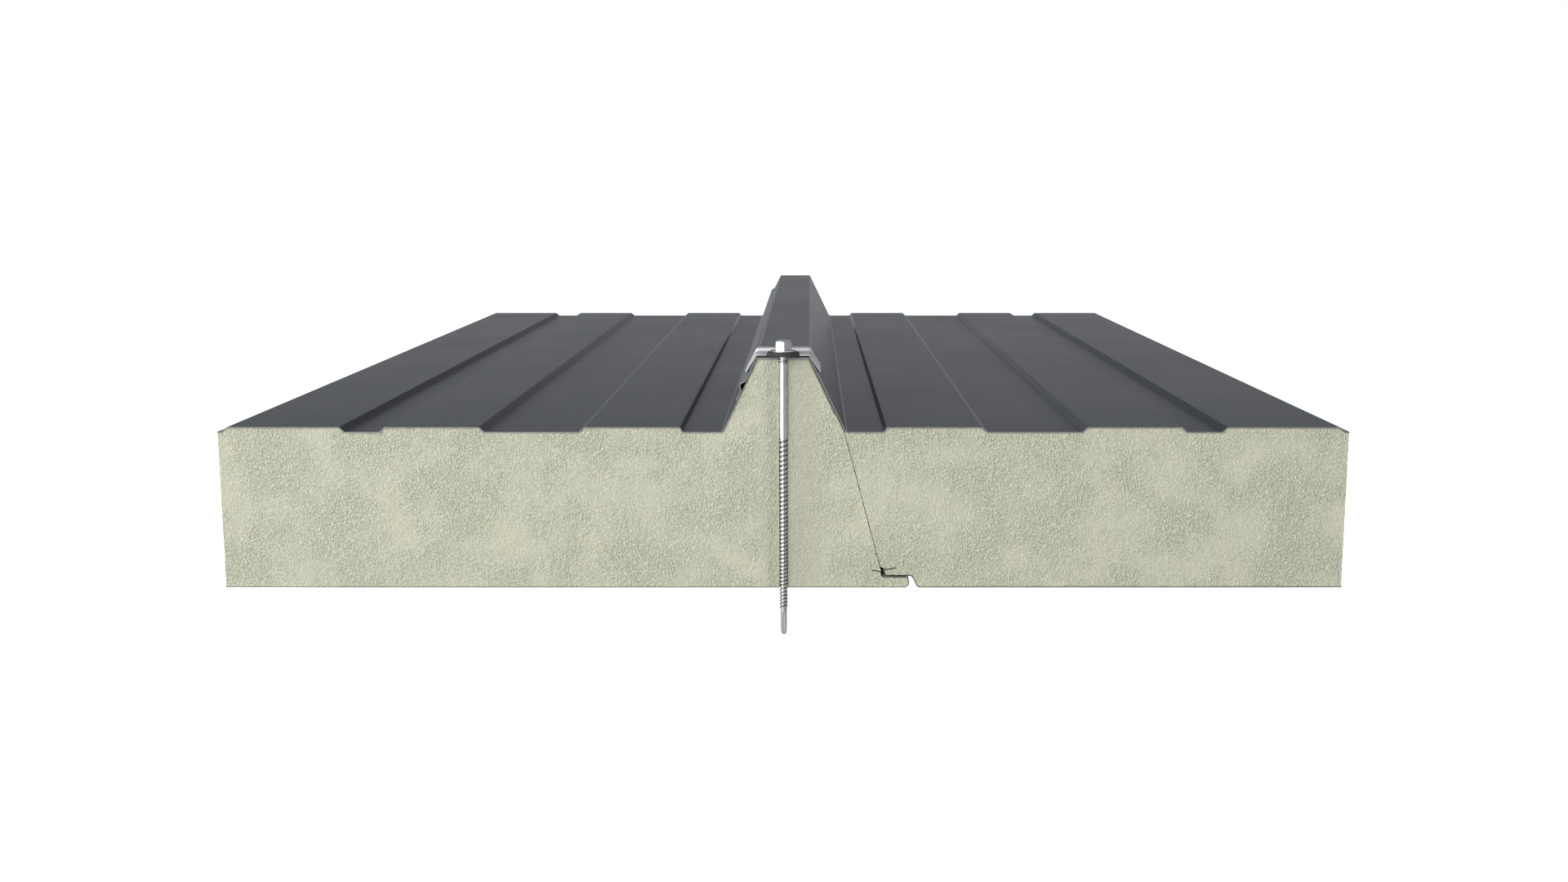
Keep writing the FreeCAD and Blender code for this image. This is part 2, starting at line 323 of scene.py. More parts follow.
def trace(name, points):
    """Line drawn in the plane Y = 0 through points of (x, z)."""
    clear_selection()
    bpy.ops.mesh.primitive_plane_add(size=MM)
    piece = bpy.context.object
    piece.name = name
    edit_all(piece)
    bpy.ops.mesh.merge(type="CENTER")
    place = Vector((0, 0, 0))
    for number, (x, z) in enumerate(points):
        step = Vector((x, 0, z)) - place
        if number:
            bpy.ops.mesh.extrude_vertices_move(TRANSFORM_OT_translate={"value": step})
        else:
            bpy.ops.transform.translate(value=step)
        place += step
    bpy.ops.object.mode_set(mode="OBJECT")
    return piece


def turn(name, points, steps):
    """Solid turned about the screw's axis from a half section of (radius, height)."""
    piece = trace(name, points)
    edit_all(piece)
    bpy.ops.mesh.spin(steps=steps, angle=math.tau, center=(0, 0, 0), axis=(0, 0, 1))
    weld(piece)
    return piece


def fit(piece, name, node, finish):
    """Finish a piece and show it in its CAD node's place."""
    weld(piece)
    bpy.ops.object.transform_apply(location=True, rotation=True, scale=True)
    bpy.ops.object.shade_smooth_by_angle(angle=SMOOTH_ANGLE)
    piece.name = name
    piece.data.name = name
    piece.data.materials.clear()
    piece.data.materials.append(finish)
    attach(piece, BODY)
    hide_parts(node)


def coat_node(node, finish):
    """Give a CAD node that stays in view its finish."""
    mesh = frame["nodes"][node].data
    mesh.materials.clear()
    mesh.materials.append(finish)


class Socket:
    """A node's output. Sums on it add Math nodes to the same shader."""

    def __init__(self, tree, output=None):
        self.tree = tree
        self.output = output

    def add(self, kind, settings=(), sockets=(), output=0):
        """Add a node, set it up, feed its sockets and give one of its outputs."""
        node = self.tree.nodes.new(kind)
        for name, setting in dict(settings).items():
            setattr(node, name, setting)
        for name, source in dict(sockets).items():
            if isinstance(source, Socket):
                self.tree.links.new(source.output, node.inputs[name])
            else:
                node.inputs[name].default_value = source
        return Socket(self.tree, node.outputs[output] if len(node.outputs) else None)

    def maths(self, operation, first, second):
        return self.add("ShaderNodeMath", {"operation": operation}, {0: first, 1: second})

    def __add__(self, other):
        return self.maths("ADD", self, other)

    def __radd__(self, other):
        return self.maths("ADD", other, self)

    def __sub__(self, other):
        return self.maths("SUBTRACT", self, other)

    def __rsub__(self, other):
        return self.maths("SUBTRACT", other, self)

    def __mul__(self, other):
        return self.maths("MULTIPLY", self, other)

    def __rmul__(self, other):
        return self.maths("MULTIPLY", other, self)

    def __pow__(self, other):
        return self.maths("POWER", self, other)

    def __rpow__(self, other):
        return self.maths("POWER", other, self)

    def __abs__(self):
        return self.maths("ABSOLUTE", self, 0)

    def highest(self, other):
        return self.maths("MAXIMUM", self, other)

    def above(self, limit):
        """1 where the value is over a limit, 0 elsewhere."""
        return self.maths("GREATER_THAN", self, limit)

    def ramp(self, low, high):
        """0 below low, 1 above high and a smooth rise between."""
        settings = {"interpolation_type": "SMOOTHSTEP"}
        return self.add("ShaderNodeMapRange", settings, {"Value": self, "From Min": low, "From Max": high})

    def band(self, start, full, fade, end):
        """1 between full and fade, with a smooth rise from start and a smooth fall to end."""
        return self.ramp(start, full) * (1 - self.ramp(fade, end))

    def axis(self, letter):
        """X, Y or Z of a vector."""
        return self.add("ShaderNodeSeparateXYZ", sockets={"Vector": self}, output=letter)

    def scaled(self, amount):
        """Colour made darker or lighter."""
        return self.add("ShaderNodeVectorMath", {"operation": "SCALE"}, {0: self, "Scale": amount})

    def blend(self, first, second):
        """Colour between two, with this value as the share of the second."""
        settings = {"data_type": "RGBA"}
        return self.add("ShaderNodeMix", settings, {0: self, 6: first, 7: second}, output=2)


def empty_tree(owner):
    """Clear a material's or world's nodes, and give a socket to start from."""
    owner.use_nodes = True
    owner.node_tree.nodes.clear()
    return Socket(owner.node_tree)


def new_shader(name):
    """Empty material, with a socket to start from and its place on the piece."""
    finish = bpy.data.materials.new(name)
    start = empty_tree(finish)
    place = start.add("ShaderNodeTexCoord", output="Object")
    return finish, start, place


def close_shader(start, **sockets):
    """Principled surface with its inputs given by name, with spaces as underscores."""
    inputs = {name.replace("_", " "): source for name, source in sockets.items()}
    surface = start.add("ShaderNodeBsdfPrincipled", sockets=inputs)
    start.add("ShaderNodeOutputMaterial", sockets={"Surface": surface})


def stretched(place, size):
    """Place scaled so that one unit is the given size along each axis."""
    scale = [1 / extent for extent in size]
    return place.add("ShaderNodeMapping", sockets={"Vector": place, "Scale": scale})


def noise(place, size, detail=2.0, roughness=0.5, distortion=0.0):
    """Cloudy pattern of 0 to 1 with lumps of the given size, in metres or as (x, y, z)."""
    if isinstance(size, tuple):
        place, size = stretched(place, size), 1
    sockets = {
        "Vector": place, "Scale": 1 / size, "Detail": detail,
        "Roughness": roughness, "Distortion": distortion,
    }
    return place.add("ShaderNodeTexNoise", sockets=sockets)


# middle of a cloudy pattern, and the stretch of it that most of its clouds take up
MIDDLE = 0.5
CLOUDY = (0.3, 0.7)


def swing(pattern, amount):
    """Cloudy pattern as a small change up and down."""
    return (pattern - MIDDLE) * amount


def ridged(pattern):
    """Sharp valleys where a cloudy pattern passes through its middle."""
    return abs(pattern - MIDDLE) * 2


def bumped(height, depth):
    return height.add("ShaderNodeBump", sockets={"Height": height, "Distance": depth})


def opaque(rgb, strength=1):
    """Colour for a socket, made darker or lighter by its strength."""
    return (*(Vector(rgb) * strength), 1)


def shades(share, rgb, first, second):
    """Colour between two strengths of itself, with a share of the second."""
    return share.blend(opaque(rgb, first), opaque(rgb, second))


def sawn_mask(place):
    """1 on the faces where the saw went through the sheets, 0 elsewhere."""
    middle = (SHEET_LOW.y + SHEET_HIGH.y) / 2
    half_depth = (SHEET_HIGH.y - SHEET_LOW.y) / 2
    centred = place.add("ShaderNodeVectorMath", {"operation": "SUBTRACT"}, {0: place, 1: (0, middle, 0)})
    near_end = abs(centred.axis("X")).above(-PANEL_LOW.x - ON_FACE)
    near_face = abs(centred.axis("Y")).above(half_depth - ON_FACE)
    return near_end.highest(near_face)


# height of the right sheet's free edge on the left sheet's rib, and of the shade's soft start above it
LAP_EDGE = 96 * MM
LAP_SHADE = 2 * MM
# heights between which the painted shade on the liners' edges deepens, under the lap of the two panels
LINER_LAP = (4 * MM, 5 * MM)


def weather_coat(name, sheets, edge_under_lap):
    """Anthracite coat with a fine grain and faint clouds, bare steel on the sawn edges."""
    finish, start, place = new_shader(name)
    sawn = sawn_mask(place)
    clouds = noise(place, size=90 * MM, detail=3)
    grain = noise(place, size=0.5 * MM, detail=1)
    scratches = noise(place, size=(0.25 * MM, 0.25 * MM, 2 * MM), detail=2)
    painted = shades(clouds.ramp(*CLOUDY), sheets.coat, 0.96, 1.04)
    # painted shade on the sawn edge above the lap line, where the left sheet is given its shaded edge
    # colour
    under_lap = place.axis("Z").ramp(LAP_EDGE, LAP_EDGE + LAP_SHADE)
    steel = under_lap.blend(opaque(sheets.sawn_edge), opaque(edge_under_lap))
    close_shader(
        start,
        Base_Color=sawn.blend(painted, steel.scaled(1 + swing(scratches, 0.5))),
        Roughness=sheets.coat_roughness + swing(clouds, 0.05) + sawn * 0.1,
        Specular_IOR_Level=0.25,
        Metallic=sawn * 0.35,
        Normal=bumped(grain + sawn * scratches, depth=0.015 * MM),
    )
    return finish


def liner_coat(sheets):
    """Grey-white lining coat with painted shade on its sawn edges, deepest in the lap between the panels.
    """
    finish, start, place = new_shader("liner_coat")
    sawn = sawn_mask(place)
    lapped = place.axis("Z").ramp(*LINER_LAP)
    streaks = noise(place, size=(6 * MM, 300 * MM, 6 * MM), detail=2)
    grain = noise(place, size=0.7 * MM, detail=1)
    painted = shades(streaks.ramp(*CLOUDY), sheets.liner_coat, 0.96, 1.03)
    steel = lapped.blend(opaque(sheets.liner_edge), opaque(sheets.lapped_edge))
    close_shader(
        start,
        Base_Color=sawn.blend(painted, steel.scaled(1 + swing(grain, 0.5))),
        Roughness=0.45 + swing(streaks, 0.1),
        Specular_IOR_Level=0.2,
        Metallic=sawn * 0.3,
        Normal=bumped(grain, depth=0.015 * MM),
    )
    return finish


# bands of the front face beside the screw, as the X where each starts, is full, fades and ends
TORN_BAND = (-14 * MM, -6 * MM, -4 * MM, 0)
CALM_BAND = (0, 3 * MM, 12 * MM, 24 * MM)
# depths behind the front face between which the bands fade
BAND_DEPTH = (6 * MM, 12 * MM)


def foam_finish(foam):
    """Sawn foam: slanting wrinkles in rough and smooth patches, torn left of the screw and calm right, with
    painted shade in the wrinkles' hollows and beside the screw.
    """
    finish, start, place = new_shader("sawn_foam")
    across = place.axis("X")
    near_front = 1 - place.axis("Y").ramp(*BAND_DEPTH)
    torn = across.band(*TORN_BAND) * near_front
    calm = across.band(*CALM_BAND) * near_front
    patches = noise(place, foam.patch_size, detail=3, roughness=0.55, distortion=0.3).ramp(0.32, 0.62)
    tint = noise(place, foam.patch_size * 0.7, detail=2).ramp(0.35, 0.65)
    rough = patches.highest(torn) * (1 - 0.6 * calm)

    grain = foam.grain_size
    leaning = (0.85 * grain, grain, 1.4 * grain)
    upright = (0.75 * grain, grain, 1.8 * grain)
    slant = (0, foam.grain_slant, 0)
    slanted = place.add("ShaderNodeMapping", sockets={"Vector": place, "Rotation": slant})
    wrinkles = ridged(noise(slanted, leaning, detail=0, distortion=0.3))
    tears = ridged(noise(place, upright, detail=0, distortion=0.4))
    lumps = noise(place, 0.75 * grain, detail=0)
    creases = wrinkles * (1 - torn) + tears * torn
    grained = creases * 0.6 + lumps * 0.4
    # painted shade in the wrinkles' hollows, strongest in the rough patches
    hollows = 1 - grained.ramp(0.1, 0.45)

    clean = (rough * 0.55 + tint * 0.45).blend(opaque(foam.pale), opaque(foam.dull))
    # painted shade: the bands beside the screw take the darker foam colour
    surface = torn.highest(calm).blend(clean, opaque(foam.stained))
    close_shader(
        start,
        Base_Color=(hollows * (0.42 + 0.36 * rough)).blend(surface, opaque(foam.hollow)),
        Roughness=0.82 + swing(lumps, 0.1),
        Specular_IOR_Level=0.25,
        Normal=bumped(grained * (0.4 + 0.6 * rough), foam.grain_depth),
    )
    return finish


def rubber_finish(name, rubber):
    """Rubber with a fine moulded grain and a dusty bloom."""
    finish, start, place = new_shader(name)
    bloom = noise(place, size=3 * MM, detail=3)
    grain = noise(place, size=0.3 * MM, detail=1)
    close_shader(
        start,
        Base_Color=shades(bloom.ramp(0.35, 0.75), rubber, 1, 1.6),
        Roughness=0.68 + swing(bloom, 0.2),
        Specular_IOR_Level=0.35,
        Normal=bumped(grain, depth=0.03 * MM),
    )
    return finish


# depth of the saddle's dull sawn edge
SADDLE_SAWN = 0.08 * MM


def saddle_finish(fastener):
    """Bare rolled aluminium with fine lengthwise lines, dull where it is sawn."""
    finish, start, place = new_shader("saddle_aluminium")
    sawn = 1 - place.axis("Y").ramp(0, SADDLE_SAWN)
    lines = noise(place, size=(0.12 * MM, 14 * MM, 0.12 * MM), detail=2)
    clouds = noise(place, size=7 * MM, detail=2)
    rolled = shades(clouds.ramp(*CLOUDY), fastener.aluminium, 0.93, 1)
    close_shader(
        start,
        Base_Color=sawn.blend(rolled, opaque(fastener.aluminium, 0.42)),
        Metallic=0.6 + swing(clouds, 0.1),
        Roughness=0.32 + sawn * 0.15 + swing(lines, 0.1),
        Normal=bumped(lines, depth=0.003 * MM),
    )
    return finish


# heights over which the screw's bright steel starts and the painted shade between the threads ends
BRIGHT_START = 0.15 * MM
THREAD_SHADE_END = 0.5 * MM
# the painted shade starts this far under the thread's crest and is full this far over its root
THREAD_SHADE_MARGIN = 0.1 * MM


def screw_finish(fastener):
    """Bright steel with painted shade between the threads, and dull with drawn streaks on the drill point.
    """
    finish, start, place = new_shader("screw_steel")
    across = place.axis("X")
    back = place.axis("Y")
    height = place.axis("Z")
    radius = (across * across + back * back) ** 0.5
    raised = radius.ramp(fastener.root_radius + THREAD_SHADE_MARGIN, fastener.crest_radius - THREAD_SHADE_MARGIN)
    bright = height.ramp(fastener.thread_bottom - BRIGHT_START, fastener.thread_bottom)
    under_head = 1 - height.ramp(fastener.collar_top, fastener.collar_top + THREAD_SHADE_END)
    # painted shade: the darker colour covers the steel near the thread's root, up to the collar
    groove_shade = (1 - raised) * bright * under_head
    clouds = noise(place, size=2.5 * MM, detail=3)
    streaks = noise(place, size=(0.35 * MM, 0.35 * MM, 9 * MM), detail=2)
    point = shades(streaks.ramp(*CLOUDY), fastener.point_steel, 0.88, 1.14)
    shiny = shades(clouds.ramp(*CLOUDY), fastener.steel, 0.94, 1.03)
    thread_shaded = groove_shade.blend(shiny, opaque(fastener.grime))
    close_shader(
        start,
        Base_Color=bright.blend(point, thread_shaded),
        Metallic=0.55 + bright * 0.45,
        Roughness=0.52 - bright * 0.32 + groove_shade * 0.15 + swing(clouds, 0.08),
        Normal=bumped(streaks * (1 - bright) + clouds * 0.2, depth=0.02 * MM),
    )
    return finish


class PANELJOINT_OT_coat_sheets(Operator):
    """Coat the two outer sheets and the two liners"""

    bl_idname = "panel_joint.coat_sheets"
    bl_label = "Coat sheets"

    def execute(self, context):
        sheets = context.scene.joint_sheets
        liner = liner_coat(sheets)
        coat_node("left_outer_sheet", weather_coat("left_coat", sheets, sheets.shaded_edge))
        coat_node("right_outer_sheet", weather_coat("right_coat", sheets, sheets.sawn_edge))
        coat_node("left_liner_sheet", liner)
        coat_node("right_liner_sheet", liner)
        return {"FINISHED"}


# mesh steps by which a block of foam stands past the core that is cut from it
SPARE_STEPS = 3
# the joint's slanted wall looks left and down, with its normal's X and Z below these
JOINT_LEFT = -0.9
JOINT_DOWN = -0.2


def foam_block(left, right, front, depth, bottom, top, step):
    """Block with a square mesh on its front and back."""
    clear_selection()
    bpy.ops.mesh.primitive_grid_add(
        x_subdivisions=round((right - left) / step),
        y_subdivisions=round((top - bottom) / step),
        size=1,
        location=((left + right) / 2, front, (bottom + top) / 2),
        rotation=(UPRIGHT, 0, 0),
    )
    block = bpy.context.object
    block.scale = (right - left, top - bottom, 1)
    bpy.ops.object.transform_apply(location=True, rotation=True, scale=True)
    apply(block, "SOLIDIFY", thickness=depth, offset=-1)
    return block


def roughen(core, name, foam, sawn):
    """Press the saw's lumps into the faces that pass a test, and leave their outlines in place."""
    edit_where(core, "FACE", sawn)
    bpy.ops.mesh.select_mode(type="VERT")
    bpy.ops.mesh.select_less()
    bpy.ops.object.vertex_group_assign_new()
    bpy.ops.object.mode_set(mode="OBJECT")
    lumps = bpy.data.textures.new(name, "CLOUDS")
    lumps.noise_scale = foam.wrinkle_size
    lumps.noise_depth = 1
    apply(
        core, "DISPLACE", texture=lumps, texture_coords="LOCAL", direction="NORMAL",
        strength=foam.wrinkle_depth, mid_level=1, vertex_group=core.vertex_groups[0].name)
    core.vertex_groups.clear()


def saw_core(side, foam):
    """Foam core with rough sawn faces at the front, the back and its outer end."""
    node = side + "_foam_core"
    low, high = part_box(node)
    spare = SPARE_STEPS * foam.face_step
    left = low.x + foam.recess if side == "left" else low.x - spare
    right = high.x - foam.recess if side == "right" else high.x + spare
    end = left if side == "left" else right
    front = low.y + foam.recess
    depth = high.y - low.y - 2 * foam.recess
    core = foam_block(left, right, front, depth, low.z - spare, high.z + spare, foam.face_step)
    combine(core, merged_copy(node), "INTERSECT")

    def along_end(edge):
        first, second = edge_ends(core, edge)
        on_end = abs(first.x - end) < ON_FACE and abs(second.x - end) < ON_FACE
        return on_end and abs(first.y - second.y) > depth / 2

    def on_joint(face):
        return face.normal.x < JOINT_LEFT and face.normal.z < JOINT_DOWN

    def sawn(face):
        on_end = abs(face.normal.x) > FACING and abs(face.center.x - end) < ON_FACE
        return on_end or abs(face.normal.y) > FACING

    edit_where(core, "EDGE", along_end)
    bpy.ops.mesh.subdivide(number_cuts=round(depth / foam.end_step) - 1)
    if side == "right":
        shift_where(core, "FACE", on_joint, (-foam.joint_swell, 0, 0))
    roughen(core, side + "_lumps", foam, sawn)
    return core


class PANELJOINT_OT_saw_foam(Operator):
    """Saw the two foam cores, with rough cut faces"""

    bl_idname = "panel_joint.saw_foam"
    bl_label = "Saw foam cores"

    def execute(self, context):
        foam = context.scene.joint_foam
        finish = foam_finish(foam)
        for side in ("left", "right"):
            fit(saw_core(side, foam), side + "_foam_sawn", side + "_foam_core", finish)
        return {"FINISHED"}


# rise of the ridge's sides for each length of run, and the height of the saddle's feet, which stay flat
RIDGE_STEEPNESS = 4
SADDLE_FEET = 3 * MM


def press_ridge(saddle, fastener):
    """Raise a ridge across the saddle behind its hole, down to the legs' feet."""
    near = fastener.ridge_near
    far = fastener.ridge_far
    run = fastener.ridge_height / RIDGE_STEEPNESS
    feet = SADDLE_LOW.z + SADDLE_FEET
    for back in (near, near + run, far - run, far):
        edit_all(saddle)
        bpy.ops.mesh.bisect(plane_co=(0, back, 0), plane_no=(0, 1, 0), threshold=WELD)

    def on_ridge(vertex):
        place = vertex.co
        return near + run - ON_FACE < place.y < far - run + ON_FACE and place.z > feet

    shift_where(saddle, "VERT", on_ridge, (0, 0, fastener.ridge_height))


class PANELJOINT_OT_form_saddle(Operator):
    """Form the aluminium saddle with its pressed ridge and eased edges"""

    bl_idname = "panel_joint.form_saddle"
    bl_label = "Form saddle"

    def execute(self, context):
        fastener = context.scene.joint_fastener
        saddle = merged_copy("saddle_washer")
        press_ridge(saddle, fastener)
        ease_edges(saddle, fastener.saddle_edge, segments=2)
        fit(saddle, "saddle", "saddle_washer", saddle_finish(fastener))
        return {"FINISHED"}


# gap between the sealing disc and the screw's shank
SEAL_GAP = 0.2 * MM
SEAL_STEPS = 96


class PANELJOINT_OT_mould_seals(Operator):
    """Mould the sealing disc and finish the saddle's gasket"""

    bl_idname = "panel_joint.mould_seals"
    bl_label = "Mould seals"

    def execute(self, context):
        fastener = context.scene.joint_fastener
        bore = fastener.shank_radius + SEAL_GAP
        section = [
            (bore, SEAL_LOW.z), (SEAL_HIGH.x, SEAL_LOW.z), (SEAL_HIGH.x, SEAL_HIGH.z),
            (bore, SEAL_HIGH.z), (bore, SEAL_LOW.z),
        ]
        disc = turn("seal", section, SEAL_STEPS)
        ease_edges(disc, fastener.seal_edge, segments=4)
        grey_rubber = rubber_finish("seal_rubber", fastener.seal_rubber)
        black_rubber = rubber_finish("gasket_rubber", fastener.gasket_rubber)
        fit(disc, "seal", "sealing_disc", grey_rubber)
        coat_node("saddle_gasket", black_rubber)
        return {"FINISHED"}


TURNED_STEPS = 64
# the end of the drill point as (share of its radius, height over its tip)
POINT_SECTION = ((0, 0), (0.5, 0.1 * MM), (0.75, 0.5 * MM))
# chamfer of the blank's shoulders, and height of the step from the point down to the core
EASE = 0.3 * MM
CORE_STEP = 0.1 * MM
# the core lies this far inside a thread's root, so that the two join
BURIED = 0.1 * MM
# share of the flange's radius that is level on top
FLANGE_LEVEL = 0.66


def turn_blank(fastener, flange_top):
    """Screw without its threads, hexagon and flutes."""
    tip = SCREW_LOW.z
    head_base = SEAL_HIGH.z
    flange = SCREW_HIGH.x
    core = fastener.root_radius - BURIED
    collar_core = fastener.collar_root - BURIED
    return turn("screw", [
        *((share * fastener.point_radius, tip + height) for share, height in POINT_SECTION),
        (fastener.point_radius, tip + fastener.point_taper),
        (fastener.point_radius, fastener.thread_bottom + EASE),
        (core, fastener.thread_bottom + EASE + CORE_STEP),
        (core, fastener.thread_top - EASE),
        (fastener.shank_radius - EASE, fastener.thread_top - EASE),
        (fastener.shank_radius, fastener.thread_top),
        (fastener.shank_radius, fastener.collar_bottom),
        (collar_core, fastener.collar_bottom + EASE),
        (collar_core, fastener.collar_top - EASE),
        (fastener.shank_radius, fastener.collar_top),
        (fastener.shank_radius, head_base),
        (flange - EASE, head_base),
        (flange, head_base + EASE),
        (flange, flange_top - 1.5 * EASE),
        (flange - EASE, flange_top - EASE / 2),
        (FLANGE_LEVEL * flange, flange_top),
        (0, flange_top),
    ], TURNED_STEPS)


THREAD_STEPS = 40
# turns past each end of a thread, which are cut off level
SPARE_TURNS = 2
# one pitch of thread as (share of the pitch, 0 at the root and 1 at the crest)
THREAD_SECTION = ((0, 0), (0.26, 0), (0.4, 0.85), (0.46, 1), (0.74, 1), (0.8, 0.85), (0.94, 0), (1, 0))


def cut_thread(name, bottom, top, low_pitch, high_pitch, root, crest):
    """Right-handed thread between two heights, its pitch changing evenly from the lower to the upper."""
    pitch = (low_pitch + high_pitch) / 2
    start = bottom - SPARE_TURNS * pitch
    section = [(root + rise * (crest - root), start + share * pitch) for share, rise in THREAD_SECTION]
    piece = trace(name, section)
    apply(
        piece, "SCREW", axis="Z", screw_offset=pitch, steps=THREAD_STEPS, render_steps=THREAD_STEPS,
        iterations=math.ceil((top - bottom) / pitch) + 2 * SPARE_TURNS)
    weld(piece)
    span = top - bottom
    for vertex in piece.data.vertices:
        share = (vertex.co.z - bottom) / span
        grown = low_pitch * share + (high_pitch - low_pitch) * share * share / 2
        vertex.co.z = bottom + span * grown / pitch
    edit_all(piece)
    level = {"plane_no": (0, 0, 1), "use_fill": True, "threshold": WELD}
    bpy.ops.mesh.bisect(plane_co=(0, 0, bottom), clear_inner=True, **level)
    bpy.ops.mesh.select_all(action="SELECT")
    bpy.ops.mesh.bisect(plane_co=(0, 0, top), clear_outer=True, **level)
    weld(piece)
    return piece


HEXAGON_SIDES = 6
CORNER_EASE = 0.15 * MM
CHAMFER_ANGLE = math.radians(30)
# share of the width across flats that the round top takes
CROWN_SHARE = 0.95
# the blank is wider than the hexagon's corners by this share, and clears its top by this rise over a run
BLANK_SHARE = 1.1
BLANK_RISE = 0.02 * MM
BLANK_RUN = 0.25 * MM


def hexagon_head(fastener, bottom):
    """Hexagon with eased corners and a turned chamfer round its top."""
    top = SCREW_HIGH.z
    flat_radius = fastener.hexagon_across / 2
    corner_radius = flat_radius / math.cos(math.pi / HEXAGON_SIDES)
    clear_selection()
    bpy.ops.mesh.primitive_cylinder_add(
        vertices=HEXAGON_SIDES, radius=corner_radius, depth=top - bottom,
        location=(0, 0, (top + bottom) / 2), rotation=(0, 0, fastener.hexagon_turn))
    head = bpy.context.object
    bpy.ops.object.transform_apply(location=True, rotation=True, scale=True)

    def upright(edge):
        first, second = edge_ends(head, edge)
        return abs(first.z - second.z) > (top - bottom) / 2

    edit_where(head, "EDGE", upright)
    bpy.ops.mesh.bevel(offset=CORNER_EASE, segments=3)
    crown_radius = CROWN_SHARE * flat_radius
    blank_radius = BLANK_SHARE * corner_radius
    chamfer = (blank_radius - crown_radius) * math.tan(CHAMFER_ANGLE)
    blank = turn("head_blank", [
        (0, bottom - MM), (blank_radius, bottom - MM), (blank_radius, top - chamfer),
        (crown_radius, top), (crown_radius - BLANK_RUN, top + BLANK_RISE), (0, top + BLANK_RISE),
    ], TURNED_STEPS)
    combine(head, blank, "INTERSECT")
    return head


FLUTE_STEPS = 32
FLUTE_HEADINGS = (math.radians(4), math.radians(184))
# gap between the thread and the flutes' upper ends, and the steps round the end of a flute
FLUTE_DROP = 1.5 * MM
CAP_STEPS = 4


def flute(fastener, heading):
    """Round-ended cutter for one flute of the drill point, on the side given by its heading."""
    radius = fastener.flute_radius
    bottom = SCREW_LOW.z - MM
    middle = fastener.thread_bottom - FLUTE_DROP - radius
    cap = [
        (radius * math.cos(climb), middle + radius * math.sin(climb))
        for climb in (UPRIGHT * step / CAP_STEPS for step in range(CAP_STEPS + 1))
    ]
    cutter = turn("flute", [(0, bottom), (radius, bottom), *cap], FLUTE_STEPS)
    reach = fastener.point_radius + radius - fastener.flute_depth
    edit_all(cutter)
    bpy.ops.transform.translate(value=(reach * math.sin(heading), -reach * math.cos(heading), 0))
    bpy.ops.object.mode_set(mode="OBJECT")
    return cutter


class PANELJOINT_OT_make_screw(Operator):
    """Make the screw: turned blank, rolled threads, hexagon head and fluted drill point"""

    bl_idname = "panel_joint.make_screw"
    bl_label = "Make screw"

    def execute(self, context):
        fastener = context.scene.joint_fastener
        flange_top = SEAL_HIGH.z + fastener.flange_height
        screw = turn_blank(fastener, flange_top)
        thread = cut_thread(
            "thread", fastener.thread_bottom, fastener.thread_top,
            fastener.tip_pitch, fastener.top_pitch, fastener.root_radius, fastener.crest_radius)
        combine(screw, thread, "UNION")
        collar = cut_thread(
            "collar", fastener.collar_bottom, fastener.collar_top, fastener.collar_pitch,
            fastener.collar_pitch, fastener.collar_root, fastener.collar_radius)
        combine(screw, collar, "UNION")
        combine(screw, hexagon_head(fastener, flange_top - EASE), "UNION")
        for heading in FLUTE_HEADINGS:
            combine(screw, flute(fastener, heading), "DIFFERENCE")
        fit(screw, "screw", "roof_screw", screw_finish(fastener))
        return {"FINISHED"}


FLOOR_SIZE = 60.0
NEAR_CLIP = 10 * MM
BLACK = (0, 0, 0)
WHITE = (1, 1, 1)

# places, targets and sizes of the soft lights in metres, and the pieces that two of them are kept for
LIGHT_TARGET = (0, 0, 0.05)
KEY_PLACE = (-1.9, -2.35, 1.05)
KEY_SIZE = (4.6, 2.2)
LOW_PLACE = (-0.5, -0.5, -0.02)
LOW_TARGET = (-0.5, -0.5, 1)
LOW_SIZE = (0.96, 0.96)
LOW_PIECES = ("screw", "saddle")
BACK_PLACE = (2.4, 2.6, 1.1)
BACK_SIZE = (3, 2.2)
BACK_PIECES = ("left_foam_sawn", "right_foam_sawn")


def lay_floor(stage):
    """Pale floor at the height of the screw's tip, plain white in view."""
    clear_selection()
    bpy.ops.mesh.primitive_plane_add(size=FLOOR_SIZE, location=(0, 0, PANEL_LOW.z))
    floor = bpy.context.object
    floor.name = "pale_floor"
    finish = bpy.data.materials.new("pale_floor")
    start = empty_tree(finish)
    seen = start.add("ShaderNodeLightPath", output="Is Camera Ray")
    close_shader(
        start,
        Base_Color=opaque(stage.floor),
        Roughness=0.9,
        Specular_IOR_Level=0,
        Emission_Color=seen.blend(opaque(BLACK), opaque(WHITE)),
        Emission_Strength=1.0,
    )
    floor.data.materials.append(finish)


def hang_surround(scene, stage):
    """Surround that is brighter overhead and along the horizon at the back, plain white in view."""
    scene.world = bpy.data.worlds.new("white_surround")
    start = empty_tree(scene.world)
    seen = start.add("ShaderNodeLightPath", output="Is Camera Ray")
    heading = start.add("ShaderNodeTexCoord", output="Generated")
    height = heading.axis("Z")
    behind = heading.axis("Y").ramp(0.5, 0.9)
    level = 1 - abs(height).ramp(0, 0.2)
    overhead = height.ramp(0.5, 1.0)
    light = stage.surround + overhead * stage.overhead + behind * (level * stage.horizon - stage.shade)
    strength = light + seen * (stage.backdrop - light)
    sky = start.add("ShaderNodeBackground", sockets={"Color": opaque(stage.tint), "Strength": strength})
    start.add("ShaderNodeOutputWorld", sockets={"Surface": sky})


